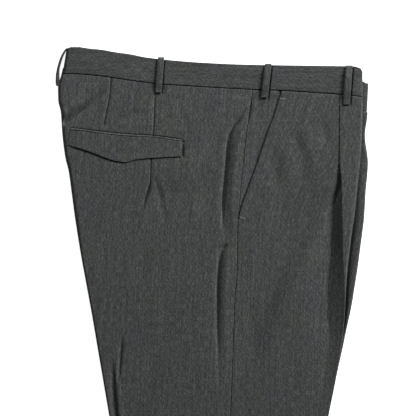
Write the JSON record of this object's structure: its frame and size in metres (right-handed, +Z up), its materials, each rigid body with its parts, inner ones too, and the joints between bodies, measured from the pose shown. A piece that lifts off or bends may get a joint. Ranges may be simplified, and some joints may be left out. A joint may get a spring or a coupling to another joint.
{
  "type": "pleated dress trousers, folded flat",
  "caption": "Dress trousers folded flat along the creases, with a front pleat, slant pocket, flap back pocket and belt loops.",
  "frame": {"origin": "on the surface that the garment lies on, below the middle of its footprint", "axes": "+Y up the legs to the waistband, +X from the centre back fold to the front creases, +Z up from the surface"},
  "size_m": [0.4068, 1.0496, 0.0159],
  "materials": {
    "worsted_wool": "mid-grey melange worsted twill, matt, with fine streaks along the warp",
    "waistband_wool": "the same worsted with its warp along the waistband, firmer from the interlining"
  },
  "bodies": {
    "root": {"right_back_panel": "worsted_wool", "right_front_panel": "worsted_wool", "left_front_panel": "worsted_wool", "right_pocket_facing": "worsted_wool", "back_pocket_welt": "worsted_wool", "back_pocket_flap": "worsted_wool", "folded_under_layers": "worsted_wool", "waistband_right": "waistband_wool", "waistband_left": "waistband_wool", "belt_loop_centre_back": "waistband_wool", "belt_loop_back": "waistband_wool", "belt_loop_side": "waistband_wool", "belt_loop_front": "waistband_wool"}
  },
  "joints": []
}
